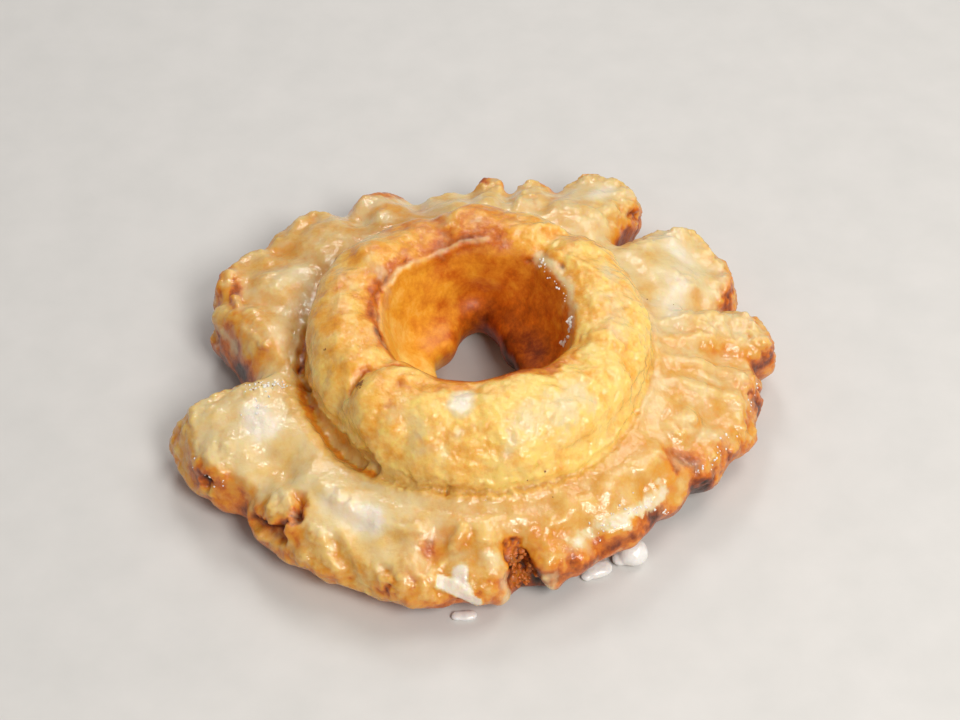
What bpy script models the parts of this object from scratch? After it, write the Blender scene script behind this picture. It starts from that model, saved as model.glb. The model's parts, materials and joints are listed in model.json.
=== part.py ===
"""Old-fashioned doughnut, in one piece: a risen ring round a funnel-shaped hole, on a cracked, petalled skirt.

Sizes are in metres. +Z is up, and the doughnut rests on z = 0. Bearings are in degrees, anticlockwise from
+X, about the axis of the hole. An outline is a list of (radius, height) points.
"""

import math
from dataclasses import dataclass

import bmesh
import bpy
import numpy as np
from mathutils import Matrix, Vector, noise

MM = 0.001

# The ring: a tube of dough bent round the hole. It is fuller towards the belly's bearing.
CREST_RADIUS = 20.3 * MM
TUBE_RADIUS = 6.4 * MM
TUBE_HEIGHT = 16.5 * MM
BELLY = 2.0 * MM
BELLY_BEARING = 268.0
BELLY_SPREAD = 62.0
RING_FOOT_RADIUS = 27.0 * MM
RING_WALL_HEIGHT = 9.0 * MM
RING_UNEVENNESS = 0.8 * MM

# The tube's outline from the hole's rim over the crest to the outside: shares of the tube's radius outwards
# and upwards, and of the belly.
TUBE_OUTLINE = (
    (-0.97, 0.36, 0.0),
    (-0.74, 0.8, 0.0),
    (0.0, 1.0, 0.0),
    (0.64, 0.77, 0.3),
    (0.98, 0.21, 0.8),
    (0.9, -0.44, 1.5),
)

# The hole: a funnel that narrows to a waist and opens again at the base. Its waist has one pointed corner.
WAIST_RADIUS = 6.7 * MM
WAIST_HEIGHT = 7.4 * MM
WAIST_LENGTH = 3.4 * MM
FUNNEL_BULGE = 0.9 * MM
HOLE_FOOT_RADIUS = 9.8 * MM
HOLE_FOOT_HEIGHT = 1.2 * MM
HOLE_FLARE = 5.0 * MM
CORNER = 5.4 * MM
CORNER_BEARING = 88.0
CORNER_SPREAD = 40.0

# The skirt: its base, its side up to the brow, and its top in to the crust's edge beside the ring.
SKIRT_ROOT_RADIUS = 23.0 * MM
BASE_INSET = 8.5 * MM
TOE_INSET = 3.8 * MM
TOE_HEIGHT = 0.8 * MM
SHIN_INSET = 0.8 * MM
SHIN_HEIGHT = 2.6 * MM
WIDEST_HEIGHT = 5.4 * MM
SIDE_LIFT = 0.5 * MM
SIDE_UNEVENNESS = 0.3 * MM
BROW_DROP = 1.6 * MM
BROW_UNEVENNESS = 0.6 * MM
BROW_RISE = 0.5 * MM
NOTCH_DROP = 1.1 * MM
DOME = 1.0 * MM
LEAST_ROOM = 1.6 * MM
CRUST_DROP = 0.6 * MM
CRUST_UNEVENNESS = 0.5 * MM
GAP_WIDTH = 1.0 * MM

# The tear right through the skirt: two broken faces, each square to a bearing at a distance from the axis.
TEAR_BEARING = 188.0
TEAR_REACH = 29.6 * MM
TEAR_SETBACK = 1.8 * MM
TEAR_DEPTH = 3.0 * MM
SLANTING_FACE = (212.0, 31.4 * MM)
ROUNDED_FACE = (121.0, 15.4 * MM)
TEAR_SIDES = (60.0, 30.0)
CORNER_SOFTNESS = 0.9 * MM
LEAST_LEAN = 0.05

# Frying leaves soft lumps all over and crags where the skirt ends, from this radius to this one.
LUMP_SIZE = 8.0 * MM
LUMP_DEPTH = 0.7 * MM
CRAG_SIZE = 2.8 * MM
CRAG_DEPTH = 0.7 * MM
CRAG_RADII = (33 * MM, 42 * MM)
HOLLOW_UNEVENNESS = 0.28

# How finely the dough is modelled, how far it sinks below the base before it is pressed flat, and how little
# above the base still counts as flat.
STATION_STEP = 1.2
TEAR_STEP = 0.4
TEAR_SPAN = 8.0
SAMPLES = 4
VOXEL = 0.6 * MM
TRIANGLES = 11000
SINK = 1.4 * MM
FLAT_WITHIN = 0.15 * MM


@dataclass(frozen=True)
class Petal:
    """One petal of the skirt: its tip, how deep the notches beside it are, how square it is, and its brow."""

    bearing: float
    half_width: float
    reach: float
    notch: float
    squareness: float
    brow: float
    setback: float


@dataclass(frozen=True)
class Seam:
    """Where the skirt's crust ends beside the ring: the crust's edge, and the floor of the gap before it."""

    bearing: float
    edge_radius: float
    edge_height: float
    floor: float


@dataclass(frozen=True)
class Crease:
    """A fold across the ring, which is lowest at the bearing and fades out at the spread to each side."""

    bearing: float
    spread: float
    depth: float


@dataclass(frozen=True)
class Hollow:
    """A pit, crack or chip: an uneven egg of this size (outwards, round, upwards), taken out of the dough.

    The egg's outward end is raised by the tilt, and turned away from the bearing by the turn.
    """

    bearing: float
    radius: float
    height: float
    size: tuple
    tilt: float = 0.0
    turn: float = 0.0


PETALS = (
    Petal(199, 14, 48.6 * MM, 3.4 * MM, 2.2, 12.0 * MM, 5.0 * MM),
    Petal(233, 14, 45.2 * MM, 1.4 * MM, 3.0, 11.4 * MM, 4.4 * MM),
    Petal(251, 12, 44.7 * MM, 1.0 * MM, 3.0, 10.8 * MM, 4.2 * MM),
    Petal(267, 11, 43.2 * MM, 2.0 * MM, 3.0, 9.6 * MM, 2.6 * MM),
    Petal(289, 9, 41.4 * MM, 1.4 * MM, 3.0, 9.2 * MM, 2.6 * MM),
    Petal(304, 9, 40.8 * MM, 1.0 * MM, 2.5, 10.4 * MM, 2.2 * MM),
    Petal(320, 10, 39.8 * MM, 0.7 * MM, 2.5, 10.8 * MM, 2.0 * MM),
    Petal(337, 9, 42.8 * MM, 1.8 * MM, 3.0, 10.2 * MM, 3.4 * MM),
    Petal(351, 9, 44.6 * MM, 0.8 * MM, 3.0, 10.4 * MM, 2.4 * MM),
    Petal(9.5, 6.5, 47.8 * MM, 4.6 * MM, 6.0, 10.4 * MM, 1.6 * MM),
    Petal(33, 13.5, 47.4 * MM, 5.8 * MM, 5.0, 10.2 * MM, 1.8 * MM),
    Petal(61, 9.5, 48.2 * MM, 6.0 * MM, 6.0, 12.0 * MM, 1.6 * MM),
    Petal(76, 5, 42.4 * MM, 1.4 * MM, 3.0, 11.4 * MM, 1.6 * MM),
    Petal(87, 4.5, 43.8 * MM, 4.0 * MM, 3.0, 11.6 * MM, 1.6 * MM),
    Petal(98, 8, 40.6 * MM, 1.4 * MM, 3.0, 10.4 * MM, 1.6 * MM),
    Petal(114, 8, 43.6 * MM, 2.4 * MM, 3.0, 11.0 * MM, 1.8 * MM),
    Petal(134, 11, 45.2 * MM, 2.4 * MM, 3.0, 11.0 * MM, 2.0 * MM),
    Petal(153, 11, 45.8 * MM, 2.6 * MM, 3.0, 11.8 * MM, 2.0 * MM),
    Petal(174, 12, 45.4 * MM, 2.6 * MM, 3.0, 12.0 * MM, 2.0 * MM),
)

SEAMS = (
    Seam(188, 28.3 * MM, 12.4 * MM, 6.2 * MM),
    Seam(210, 28.4 * MM, 12.9 * MM, 8.6 * MM),
    Seam(228, 29.4 * MM, 12.8 * MM, 9.4 * MM),
    Seam(243, 30.8 * MM, 13.2 * MM, 12.2 * MM),
    Seam(270, 32.2 * MM, 13.0 * MM, 13.2 * MM),
    Seam(292, 31.6 * MM, 12.8 * MM, 13.2 * MM),
    Seam(320, 30.2 * MM, 13.4 * MM, 13.4 * MM),
    Seam(0, 29.2 * MM, 13.6 * MM, 13.4 * MM),
    Seam(60, 28.6 * MM, 13.2 * MM, 13.0 * MM),
    Seam(130, 28.2 * MM, 13.0 * MM, 12.4 * MM),
    Seam(172, 28.2 * MM, 12.6 * MM, 10.2 * MM),
)

RING_CREASES = (
    Crease(218, 6, 1.3 * MM),
    Crease(52, 7, 1.0 * MM),
    Crease(108, 5, 0.6 * MM),
    Crease(152, 6, 0.7 * MM),
    Crease(338, 7, 0.7 * MM),
)

HOLLOWS = (
    Hollow(280, 40.8 * MM, 6.2 * MM, (4.6 * MM, 2.2 * MM, 4.6 * MM)),
    Hollow(283, 40.5 * MM, 3.2 * MM, (3.4 * MM, 2.0 * MM, 2.4 * MM)),
    Hollow(228, 43.4 * MM, 10.2 * MM, (2.4 * MM, 1.4 * MM, 2.6 * MM)),
    Hollow(224, 46.2 * MM, 7.6 * MM, (2.6 * MM, 3.6 * MM, 1.8 * MM)),
    Hollow(266, 44.6 * MM, 12.6 * MM, (5.0 * MM, 6.4 * MM, 4.4 * MM), tilt=20),
    Hollow(211, 49.0 * MM, 5.0 * MM, (2.2 * MM, 1.3 * MM, 3.0 * MM)),
    Hollow(244, 46.2 * MM, 7.4 * MM, (2.0 * MM, 1.2 * MM, 2.6 * MM)),
    Hollow(254, 45.6 * MM, 6.4 * MM, (1.8 * MM, 1.1 * MM, 2.6 * MM)),
    Hollow(54, 49.0 * MM, 7.6 * MM, (2.6 * MM, 1.8 * MM, 2.6 * MM)),
    Hollow(166, 46.4 * MM, 7.0 * MM, (3.4 * MM, 7.0 * MM, 2.0 * MM), turn=38),
    Hollow(326, 42.6 * MM, 7.4 * MM, (1.8 * MM, 1.6 * MM, 2.8 * MM)),
    Hollow(346, 46.6 * MM, 6.6 * MM, (1.8 * MM, 1.4 * MM, 2.6 * MM)),
    Hollow(22, 47.4 * MM, 6.8 * MM, (1.8 * MM, 2.2 * MM, 2.2 * MM)),
)


def turned(bearing, radius, height):
    """The point at this bearing, distance from the hole's axis and height."""
    angle = math.radians(bearing)
    return Vector((radius * math.cos(angle), radius * math.sin(angle), height))


def apart(first, second):
    """The signed angle from the second bearing to the first, from -180 to 180."""
    return (first - second + 180) % 360 - 180


def ease(low, high, value):
    """0 below low, 1 above high, and a smooth rise between them."""
    share = min(max((value - low) / (high - low), 0.0), 1.0)
    return share * share * (3 - 2 * share)


def swell(bearing, middle, spread):
    """1 at the middle bearing, falling smoothly to 0 at this spread to each side."""
    return 1 - ease(0, spread, abs(apart(bearing, middle)))


def waver(bearing, lumps, seed):
    """Smooth noise of about -1 to 1 round the doughnut, with about this many lumps in a full turn."""
    return 1.6 * noise.noise(turned(bearing, lumps / (2 * math.pi), seed))


def blended(bearing, stations, field):
    """A field's value at this bearing, eased from each station's bearing to the next one's."""
    behind = min(stations, key=lambda station: (bearing - station.bearing) % 360)
    ahead = min(stations, key=lambda station: (station.bearing - bearing) % 360)
    gap = (ahead.bearing - behind.bearing) % 360
    share = ease(0, gap, (bearing - behind.bearing) % 360) if gap else 0.0
    return getattr(behind, field) * (1 - share) + getattr(ahead, field) * share


def petal_edge(petal, bearing):
    """The petal's radius at this bearing, and how far the bearing is towards its notches, 0 to 1 and on."""
    off = min(abs(apart(bearing, petal.bearing)) / petal.half_width, 3.0)
    return petal.reach - petal.notch * off**petal.squareness, off


def cut_by_tear(bearing, reach):
    """The radius that is left of this reach where a broken face crosses the skirt, the corner rounded."""
    before, after = TEAR_SIDES
    if not TEAR_BEARING - before < bearing < TEAR_BEARING + after:
        return reach
    face_bearing, distance = SLANTING_FACE if bearing < TEAR_BEARING else ROUNDED_FACE
    lean = math.cos(math.radians(bearing - face_bearing))
    face = max(distance / max(lean, LEAST_LEAN), TEAR_REACH)
    least = min(reach, face)
    rounding = sum(math.exp((least - each) / CORNER_SOFTNESS) for each in (reach, face))
    return least - CORNER_SOFTNESS * math.log(rounding)


def skirt_edge(bearing):
    """The skirt's widest radius here, how deep in a notch it is, and how much of a broken face, 0 to 1."""
    whole, off = max(petal_edge(petal, bearing) for petal in PETALS)
    reach = max(cut_by_tear(bearing, whole), TEAR_REACH)
    return reach, ease(0.5, 1.0, off), ease(0, TEAR_DEPTH, whole - reach)


def smooth_loop(points, samples):
    """A closed Catmull-Rom curve through the points, with this many samples between each pair."""
    loop = []
    count = len(points)
    for i in range(count):
        before, start, end, after = (np.array(points[(i + k - 1) % count]) for k in range(4))
        for step in range(samples):
            t = step / samples
            linear = (end - before) * t
            square = (2 * before - 5 * start + 4 * end - after) * t**2
            cube = (3 * start - before - 3 * end + after) * t**3
            loop.append((2 * start + linear + square + cube) / 2)
    return loop


def ring_section(bearing):
    """Outline of the ring, with the funnel and the base below it."""
    lump = 0.5 * RING_UNEVENNESS * waver(bearing, 9, 3.1)
    sag = 0.5 * sum(crease.depth * swell(bearing, crease.bearing, crease.spread) for crease in RING_CREASES)
    crest = CREST_RADIUS + 0.7 * RING_UNEVENNESS * waver(bearing, 5, 7.7)
    tube = TUBE_RADIUS + lump - sag
    height = TUBE_HEIGHT + lump - sag + 0.6 * RING_UNEVENNESS * waver(bearing, 4, 1.3)
    belly = BELLY * swell(bearing, BELLY_BEARING, BELLY_SPREAD)
    corner = CORNER * swell(bearing, CORNER_BEARING, CORNER_SPREAD)
    waist = WAIST_RADIUS + corner + 0.6 * RING_UNEVENNESS * waver(bearing, 4, 5.2)
    funnel = (waist + crest - tube) / 2 + FUNNEL_BULGE, (WAIST_HEIGHT + height) / 2
    return [
        (RING_FOOT_RADIUS, -SINK),
        (HOLE_FOOT_RADIUS + HOLE_FLARE + corner, -SINK),
        (HOLE_FOOT_RADIUS + corner, HOLE_FOOT_HEIGHT),
        (waist, WAIST_HEIGHT - WAIST_LENGTH / 2),
        (waist, WAIST_HEIGHT + WAIST_LENGTH / 2),
        funnel,
        *((crest + out * tube + share * belly, height + up * tube) for out, up, share in TUBE_OUTLINE),
        (RING_FOOT_RADIUS + belly, RING_WALL_HEIGHT),
        (RING_FOOT_RADIUS, RING_WALL_HEIGHT / 2),
    ]


def skirt_section(bearing):
    """Outline of the skirt, from its root inside the ring, out along the base, up and back along the top."""
    reach, notch, torn = skirt_edge(bearing)
    brow = blended(bearing, PETALS, "brow") - NOTCH_DROP * notch + BROW_UNEVENNESS * waver(bearing, 28, 2.2)
    setback = blended(bearing, PETALS, "setback") + BROW_UNEVENNESS * waver(bearing, 25, 9.4)
    edge = blended(bearing, SEAMS, "edge_radius") + CRUST_UNEVENNESS * waver(bearing, 30, 8.8)
    edge_height = blended(bearing, SEAMS, "edge_height") + CRUST_UNEVENNESS * waver(bearing, 14, 4.4)
    floor = blended(bearing, SEAMS, "floor")
    room = max(reach - edge, LEAST_ROOM)
    setback = min(setback + TEAR_SETBACK * torn, 0.4 * room)
    lift = SIDE_LIFT * (1 + waver(bearing, 7, 6.3))
    side = SIDE_UNEVENNESS * waver(bearing, 29, 5.6)
    dome = DOME * (1 - 0.8 * notch)
    return [
        (SKIRT_ROOT_RADIUS, -SINK),
        (max(reach - BASE_INSET, SKIRT_ROOT_RADIUS + GAP_WIDTH), -SINK),
        (reach - min(TOE_INSET, 0.6 * room), TOE_HEIGHT + lift),
        (reach - min(SHIN_INSET, 0.3 * room), SHIN_HEIGHT + lift),
        (reach + side, WIDEST_HEIGHT + lift),
        (reach - side - 0.4 * setback, brow - BROW_DROP),
        (reach - setback, brow),
        (reach - setback - 0.2 * room, brow + BROW_RISE),
        (edge + 0.42 * room, (brow + edge_height) / 2 + dome),
        (edge + 0.14 * room, edge_height + 0.3 * CRUST_DROP),
        (edge, edge_height - CRUST_DROP),
        (edge - 0.4 * GAP_WIDTH, 0.7 * floor + 0.3 * edge_height),
        (edge - GAP_WIDTH, floor),
        (SKIRT_ROOT_RADIUS, floor - CRUST_DROP),
    ]


def station_bearings():
    """Bearings all round, closer together where the skirt is torn."""
    before = np.arange(0, TEAR_BEARING - TEAR_SPAN, STATION_STEP)
    torn = np.arange(TEAR_BEARING - TEAR_SPAN, TEAR_BEARING + TEAR_SPAN, TEAR_STEP)
    after = np.arange(TEAR_BEARING + TEAR_SPAN, 360 - STATION_STEP / 2, STATION_STEP)
    return [float(bearing) for bearing in np.concatenate([before, torn, after])]


def new_object(name, bm, collection):
    """An object in the collection that holds the bmesh, which is freed."""
    mesh = bpy.data.meshes.new(name)
    bm.to_mesh(mesh)
    bm.free()
    obj = bpy.data.objects.new(name, mesh)
    collection.objects.link(obj)
    return obj


def closed_loft(name, section, collection):
    """An object through the section's outline at every station: one closed tube round the hole."""
    bm = bmesh.new()
    rows = []
    for bearing in station_bearings():
        outline = smooth_loop(section(bearing), SAMPLES)
        rows.append([bm.verts.new(turned(bearing, radius, height)) for radius, height in outline])
    for row, following in zip(rows, rows[1:] + rows[:1]):
        for i in range(len(row)):
            j = (i + 1) % len(row)
            bm.faces.new((row[i], row[j], following[j], following[i]))
    bmesh.ops.recalc_face_normals(bm, faces=bm.faces)
    return new_object(name, bm, collection)


def apply_modifiers(obj):
    """Replaces the object's mesh with what its modifiers make of it."""
    graph = bpy.context.evaluated_depsgraph_get()
    mesh = bpy.data.meshes.new_from_object(obj.evaluated_get(graph))
    obj.modifiers.clear()
    obj.data = mesh


def skin_over(obj, smoothing):
    """Remakes the object by voxels as one even skin, and smooths it this many times."""
    remesh = obj.modifiers.new("one_skin", "REMESH")
    remesh.mode = "VOXEL"
    remesh.voxel_size = VOXEL
    smooth = obj.modifiers.new("rounded", "SMOOTH")
    smooth.factor = 0.5
    smooth.iterations = smoothing
    apply_modifiers(obj)


def fused(name, pieces, collection):
    """One object that joins the pieces under a single skin, and takes their place."""
    bm = bmesh.new()
    for piece in pieces:
        bm.from_mesh(piece.data)
        bpy.data.objects.remove(piece)
    obj = new_object(name, bm, collection)
    skin_over(obj, 0)
    return obj


def hollow_cutter(number, hollow, collection):
    """The uneven egg that a hollow takes out, set and turned in its place."""
    bm = bmesh.new()
    bmesh.ops.create_icosphere(bm, subdivisions=3, radius=1.0)
    for vert in bm.verts:
        vert.co *= 1 + HOLLOW_UNEVENNESS * noise.noise(2.2 * vert.co + Vector((number, 0, 0)))
    place = Matrix.Translation(turned(hollow.bearing, hollow.radius, hollow.height))
    heading = Matrix.Rotation(math.radians(hollow.bearing + hollow.turn), 4, "Z")
    rise = Matrix.Rotation(math.radians(-hollow.tilt), 4, "Y")
    bm.transform(place @ heading @ rise @ Matrix.Diagonal((*hollow.size, 1)))
    cutter = new_object(f"hollow_{number}", bm, collection)
    cutter.hide_render = True
    cutter.display_type = "WIRE"


def take_out(obj, cutters):
    """Cuts every object of the cutters' collection out of this one, and removes them."""
    cut = obj.modifiers.new("hollows", "BOOLEAN")
    cut.operation = "DIFFERENCE"
    cut.operand_type = "COLLECTION"
    cut.collection = cutters
    apply_modifiers(obj)
    for cutter in list(cutters.objects):
        bpy.data.objects.remove(cutter)
    bpy.data.collections.remove(cutters)


def knead(obj):
    """Moves the surface along its normals, into soft lumps all over and crags where the skirt ends."""
    normals = [vertex.normal.copy() for vertex in obj.data.vertices]
    for vertex, normal in zip(obj.data.vertices, normals):
        place = vertex.co
        lump = noise.noise(place / LUMP_SIZE) + 0.6 * noise.noise(2 * place / LUMP_SIZE)
        crag = noise.noise(place / CRAG_SIZE + Vector((40, 0, 0))) * ease(*CRAG_RADII, place.xy.length)
        vertex.co += normal * (LUMP_DEPTH * lump + CRAG_DEPTH * crag)


def press_flat(obj):
    """Presses the underside flat, on to the surface that the doughnut rests on."""
    for vertex in obj.data.vertices:
        if vertex.co.z < FLAT_WITHIN:
            vertex.co.z = 0.0


def thin_out(obj):
    """Cuts the mesh down to its triangle budget, keeping more triangles where it bends more."""
    faces = sum(len(polygon.vertices) - 2 for polygon in obj.data.polygons)
    decimate = obj.modifiers.new("fewer_faces", "DECIMATE")
    decimate.ratio = TRIANGLES / faces
    apply_modifiers(obj)


def centre_on_origin(obj):
    """Moves the mesh until the origin is below the middle of its box, and says where the hole's axis is."""
    corners = np.array([vertex.co for vertex in obj.data.vertices])
    middle = (corners.min(axis=0) + corners.max(axis=0)) / 2
    obj.data.transform(Matrix.Translation((-middle[0], -middle[1], 0.0)))
    print(f"axis of the hole: x {-middle[0] / MM:.3f} mm, y {-middle[1] / MM:.3f} mm")


def glazed_dough():
    """Material of glazed, fried dough."""
    material = bpy.data.materials.new("glazed_dough")
    material.use_nodes = True
    shader = material.node_tree.nodes["Principled BSDF"]
    shader.inputs["Base Color"].default_value = (0.72, 0.45, 0.17, 1.0)
    shader.inputs["Roughness"].default_value = 0.35
    shader.inputs["Metallic"].default_value = 0.0
    return material


def main():
    for obj in list(bpy.data.objects):
        bpy.data.objects.remove(obj)
    parts = bpy.data.collections.new("old_fashioned_doughnut")
    cutters = bpy.data.collections.new("hollows")
    bpy.context.scene.collection.children.link(parts)
    bpy.context.scene.collection.children.link(cutters)
    ring = closed_loft("ring", ring_section, parts)
    skirt = closed_loft("skirt", skirt_section, parts)
    doughnut = fused("doughnut", [ring, skirt], parts)
    for number, hollow in enumerate(HOLLOWS):
        hollow_cutter(number, hollow, cutters)
    take_out(doughnut, cutters)
    skin_over(doughnut, 1)
    knead(doughnut)
    press_flat(doughnut)
    thin_out(doughnut)
    press_flat(doughnut)
    centre_on_origin(doughnut)
    doughnut.data.materials.append(glazed_dough())
    doughnut.data.shade_smooth()


main()
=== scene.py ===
"""The looks of a glazed old-fashioned doughnut, built round its solid.

The solid gives every place and size. A finer skin is cast over it, kneaded into lumps, crags and torn crumb, and
painted with how far each spot is fried and how thick the sugar glaze lies. White glaze, sugar grains and crumbs
are pieces of their own. Sculpting works in millimetres about the axis of the hole, with bearings in degrees,
anticlockwise from +X.
"""

from __future__ import annotations

import json
import logging
import math
from dataclasses import dataclass
from enum import Enum
from typing import Callable, ClassVar

import bpy
import numpy as np
from mathutils import Matrix, Vector, noise

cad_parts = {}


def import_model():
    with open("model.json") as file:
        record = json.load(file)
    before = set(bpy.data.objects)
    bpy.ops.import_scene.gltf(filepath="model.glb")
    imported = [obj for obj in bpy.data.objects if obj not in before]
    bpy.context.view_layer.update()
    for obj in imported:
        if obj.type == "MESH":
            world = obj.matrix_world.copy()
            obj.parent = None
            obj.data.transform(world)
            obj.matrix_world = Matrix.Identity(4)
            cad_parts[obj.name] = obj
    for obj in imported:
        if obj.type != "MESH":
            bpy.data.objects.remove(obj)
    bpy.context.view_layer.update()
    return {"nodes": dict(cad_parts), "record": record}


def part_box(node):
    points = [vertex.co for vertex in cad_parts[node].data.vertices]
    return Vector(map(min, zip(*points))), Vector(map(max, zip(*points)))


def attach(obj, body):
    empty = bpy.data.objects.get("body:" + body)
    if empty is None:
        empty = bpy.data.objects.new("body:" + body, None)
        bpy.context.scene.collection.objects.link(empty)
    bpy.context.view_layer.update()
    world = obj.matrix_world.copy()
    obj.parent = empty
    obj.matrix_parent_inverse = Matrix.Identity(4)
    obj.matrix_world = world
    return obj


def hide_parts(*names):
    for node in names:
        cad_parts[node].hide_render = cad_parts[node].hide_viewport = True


MM = 0.001
INSET_MM = 0.01  # how far every piece stays inside the solid's own box
MOUNT_TO_AXIS = 24 * MM
NODE = "doughnut"
BODY = "root"

log = logging.getLogger("doughnut")


class Slot(Enum):
    """The record's finishes that a piece can take."""

    DOUGH = "glazed_dough"
    ICING = "white_glaze"


class Grain(Enum):
    """The kinds of unevenness that the dough has."""

    SWELL = "soft swells, from -1 to 1"
    KNOB = "rounded knobs with sharp creases between them, from 0 in a crease to 1"


Place = tuple[float, ...]
Table = tuple[tuple[float, ...], ...]
Colour = tuple[float, float, float]
Stops = tuple[tuple[float, Colour], ...]


def heading(bearing: float) -> tuple[float, float]:
    """Return the X and Y of a step of 1 towards a bearing."""
    return math.cos(math.radians(bearing)), math.sin(math.radians(bearing))


@dataclass(frozen=True)
class Stroke:
    """A spot, or a line through several places, that is carved, raised or painted.

    A place is a bearing and a radius, for whatever height the dough has there, or a bearing, a radius and a
    height. Lengths are in millimetres. The stroke is full within its core, and fades out at its width.
    """

    places: tuple[Place, ...]
    width: float
    strength: float
    core: float = 0.0
    ragged: float = 0.3

    def points(self) -> np.ndarray:
        """Turn the stroke's places into points about the hole's axis.

        Returns:
            The points, one a row.
        """
        rows = []
        for bearing, radius, *height in self.places:
            east, north = heading(bearing)
            rows.append((radius * east, radius * north, *height))
        return np.array(rows)


def deselect_all() -> None:
    """Leave every object unselected."""
    for obj in bpy.context.selected_objects:
        obj.select_set(False)


def make_active(obj: bpy.types.Object) -> None:
    """Select one object alone, and make it the active one.

    Args:
        obj: The object.
    """
    deselect_all()
    obj.select_set(True)
    bpy.context.view_layer.objects.active = obj


def new_object(name: str, data: bpy.types.ID) -> bpy.types.Object:
    """Put a mesh, a light or a camera in the scene.

    Args:
        name: The object's name.
        data: What it holds.

    Returns:
        The object.
    """
    obj = bpy.data.objects.new(name, data)
    bpy.context.scene.collection.objects.link(obj)
    return obj


def join(name: str, parts: list[bpy.types.Object]) -> bpy.types.Object:
    """Join objects into one piece.

    Args:
        name: The piece's name.
        parts: The objects, which the piece uses up.

    Returns:
        The piece.
    """
    make_active(parts[0])
    for part in parts:
        part.select_set(True)
    bpy.ops.object.join()
    parts[0].name = parts[0].data.name = name
    return parts[0]


def dress(piece: bpy.types.Object, material: bpy.types.Material, smooth: bool = True) -> None:
    """Give a piece its material, and shade it smooth or flat."""
    piece.data.polygons.foreach_set("use_smooth", np.full(len(piece.data.polygons), smooth))
    piece.data.materials.append(material)


def apply_modifier(obj: bpy.types.Object, kind: str, **settings: object) -> None:
    """Add a modifier, set it up, and apply it.

    Args:
        obj: The object that gets it.
        kind: The modifier's type.
        settings: Its settings by name.
    """
    make_active(obj)
    modifier = obj.modifiers.new(kind.title(), kind)
    for name, value in settings.items():
        setattr(modifier, name, value)
    bpy.ops.object.modifier_apply(modifier=modifier.name)


def ease(values: np.ndarray, low: float, high: float) -> np.ndarray:
    """Return shares that go smoothly from 0 at low to 1 at high, whichever of the two is the larger."""
    share = np.clip((values - low) / (high - low), 0.0, 1.0)
    return share * share * (3.0 - 2.0 * share)


def between(values: np.ndarray, start: float, full: float, fade: float, end: float) -> np.ndarray:
    """Return shares that rise from 0 at start to 1 at full, and fall from 1 at fade to 0 at end."""
    return ease(values, start, full) * ease(values, end, fade)


def grain(points: np.ndarray, size: float, kind: Grain, octaves: int = 3, shift: float = 0.0) -> np.ndarray:
    """Work out an unevenness at each point.

    Args:
        points: The points, one a row.
        size: The size of its largest features, in the points' own unit.
        kind: Which kind of unevenness.
        octaves: How many times finer features are laid over the largest ones.
        shift: Moves the pattern, so that two layers don't match.

    Returns:
        One value for each point.
    """
    offset = Vector((shift, shift * 0.7, shift * 1.3))
    places = (Vector(point) / size + offset for point in points)
    read: dict[Grain, Callable[[Vector], float]] = {
        Grain.SWELL: lambda place: noise.fractal(place, 0.9, 2.1, octaves),
        Grain.KNOB: lambda place: noise.turbulence(place, octaves, True),
    }
    return np.fromiter(map(read[kind], places), float, len(points))


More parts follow.
